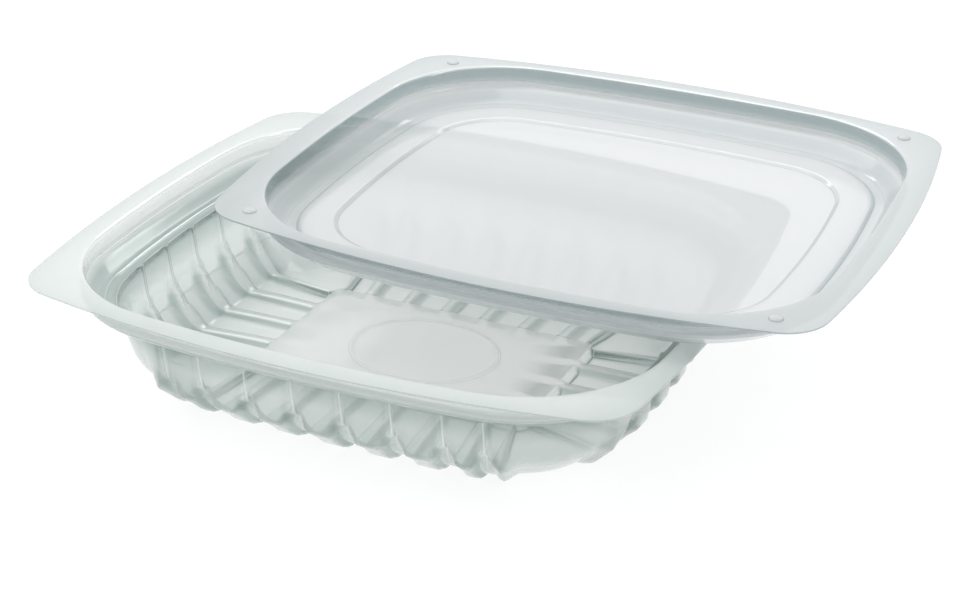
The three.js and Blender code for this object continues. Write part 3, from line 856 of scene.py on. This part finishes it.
# %% Four buttons on the lid
button_x, button_y = BUTTON_AT
corners = np.array([(sx * button_x, sy * button_y, -BUTTON_SINK) for sx in (-1, 1) for sy in (-1, 1)])
button_mesh = bpy.data.meshes.new("lid_buttons")
button_mesh.from_pydata((lid_place(corners) * MM).tolist(), [], [])
buttons = bpy.data.objects.new("lid_buttons", button_mesh)
bpy.context.scene.collection.objects.link(buttons)
sizes = {"Radius": BUTTON_RADIUS * MM, "Height": (BUTTON_HEIGHT + BUTTON_SINK) * MM, "Material": lid_plastic}
grow(buttons, button_tree(), sizes)
buttons.data.shade_smooth()
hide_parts("lid")
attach(buttons, "root")
print("buttons", len(buttons.data.polygons), "faces")

# %% [markdown]
# ## Floor, light and camera
# A pale floor and soft light from above and behind, as on a photographer's table. The camera stands where
# the photograph was taken from.

# %% Floor
FLOOR_REACH = 6.0
FLOOR_DROP = 0.0002
FLOOR_GREY = 0.2
FLOOR_GLOW = 0.83
square = [(-1, -1), (1, -1), (1, 1), (-1, 1)]
floor_mesh = bpy.data.meshes.new("floor")
floor_mesh.from_pydata([(x * FLOOR_REACH, y * FLOOR_REACH, 0) for x, y in square], [], [(0, 1, 2, 3)])
floor = bpy.data.objects.new("floor", floor_mesh)
bpy.context.scene.collection.objects.link(floor)
floor.location.z = -FLOOR_DROP
pale = bpy.data.materials.new("pale floor")
pale.use_nodes = True
look = pale.node_tree.nodes["Principled BSDF"].inputs
look["Base Color"].default_value = (FLOOR_GREY, FLOOR_GREY, FLOOR_GREY, 1)
look["Roughness"].default_value = 0.9
look["Emission Color"].default_value = (1, 1, 1, 1)
look["Emission Strength"].default_value = FLOOR_GLOW
floor_mesh.materials.append(pale)
print("floor", 2 * FLOOR_REACH, "metres wide")

# %% Soft light all round, brighter above and behind
BRIGHT_SIDE = (-0.1, 0.45, 0.85)
DIM_SKY = (0.5, 0.52, 0.52, 1)
BRIGHT_SKY = (0.95, 0.95, 0.95, 1)
SKY_STRENGTH = 1.15
FILMS_IN_A_ROW = 32
scene = bpy.context.scene
scene.view_settings.view_transform = "Standard"
scene.cycles.transparent_max_bounces = FILMS_IN_A_ROW
world = bpy.data.worlds.new("soft light")
scene.world = world
world.use_nodes = True
sky = world.node_tree.nodes
sky_place = sky.new("ShaderNodeTexCoord")
towards_bright = sky.new("ShaderNodeVectorMath")
towards_bright.operation = "DOT_PRODUCT"
towards_bright.inputs[1].default_value = BRIGHT_SIDE
sky_ramp = sky.new("ShaderNodeValToRGB")
sky_ramp.color_ramp.elements[0].color = DIM_SKY
sky_ramp.color_ramp.elements[1].color = BRIGHT_SKY
world.node_tree.links.new(sky_place.outputs["Generated"], towards_bright.inputs[0])
world.node_tree.links.new(towards_bright.outputs["Value"], sky_ramp.inputs["Fac"])
world.node_tree.links.new(sky_ramp.outputs["Color"], sky["Background"].inputs["Color"])
sky["Background"].inputs["Strength"].default_value = SKY_STRENGTH

# %% Three lamps
LAMPS = (
    ("left softbox", (-0.6, -0.05, 1.3), (1.5, 1.5), 12.0),
    ("back strip", (-0.3, 1.2, 1.05), (1.4, 0.12), 2.5),
    ("right strip", (1.1, 0.1, 0.8), (0.12, 1.0), 2.0),
)


def soft_light(name, place, size, power):
    """A softbox or strip light that faces the middle of the floor."""
    lamp = bpy.data.lights.new(name, "AREA")
    lamp.shape = "RECTANGLE"
    lamp.size, lamp.size_y = size
    lamp.energy = power
    stand = bpy.data.objects.new(name, lamp)
    bpy.context.scene.collection.objects.link(stand)
    stand.location = place
    stand.rotation_euler = (-Vector(place)).to_track_quat("-Z", "Y").to_euler()


for lamp_row in LAMPS:
    soft_light(*lamp_row)
print("lamps", [lamp_row[0] for lamp_row in LAMPS])

# %% Camera
YAW = math.radians(-24.07)
PITCH = math.radians(26.72)
ROLL = math.radians(0.90)
DISTANCE = 0.5511
TARGET = np.array([0.01615, -0.0512, 0.0388])
FOCAL_PIXELS = 2026.2
FRAME_WIDTH = 974
SENSOR = 36.0

forward = np.array([math.sin(YAW) * math.cos(PITCH), math.cos(YAW) * math.cos(PITCH), -math.sin(PITCH)])
right = np.array([math.cos(YAW), -math.sin(YAW), 0.0])
up = np.cross(right, forward)
rolled_right = math.cos(ROLL) * right + math.sin(ROLL) * up
rolled_up = -math.sin(ROLL) * right + math.cos(ROLL) * up
station = TARGET - forward * DISTANCE

camera_data = bpy.data.cameras.new("camera")
camera_data.sensor_width = SENSOR
camera_data.lens = FOCAL_PIXELS * SENSOR / FRAME_WIDTH
camera = bpy.data.objects.new("camera", camera_data)
scene.collection.objects.link(camera)
columns = np.stack([rolled_right, rolled_up, -forward, station], 1)
camera.matrix_world = Matrix([*columns.tolist(), [0, 0, 0, 1]])
scene.camera = camera
print("camera at", station.round(4).tolist())
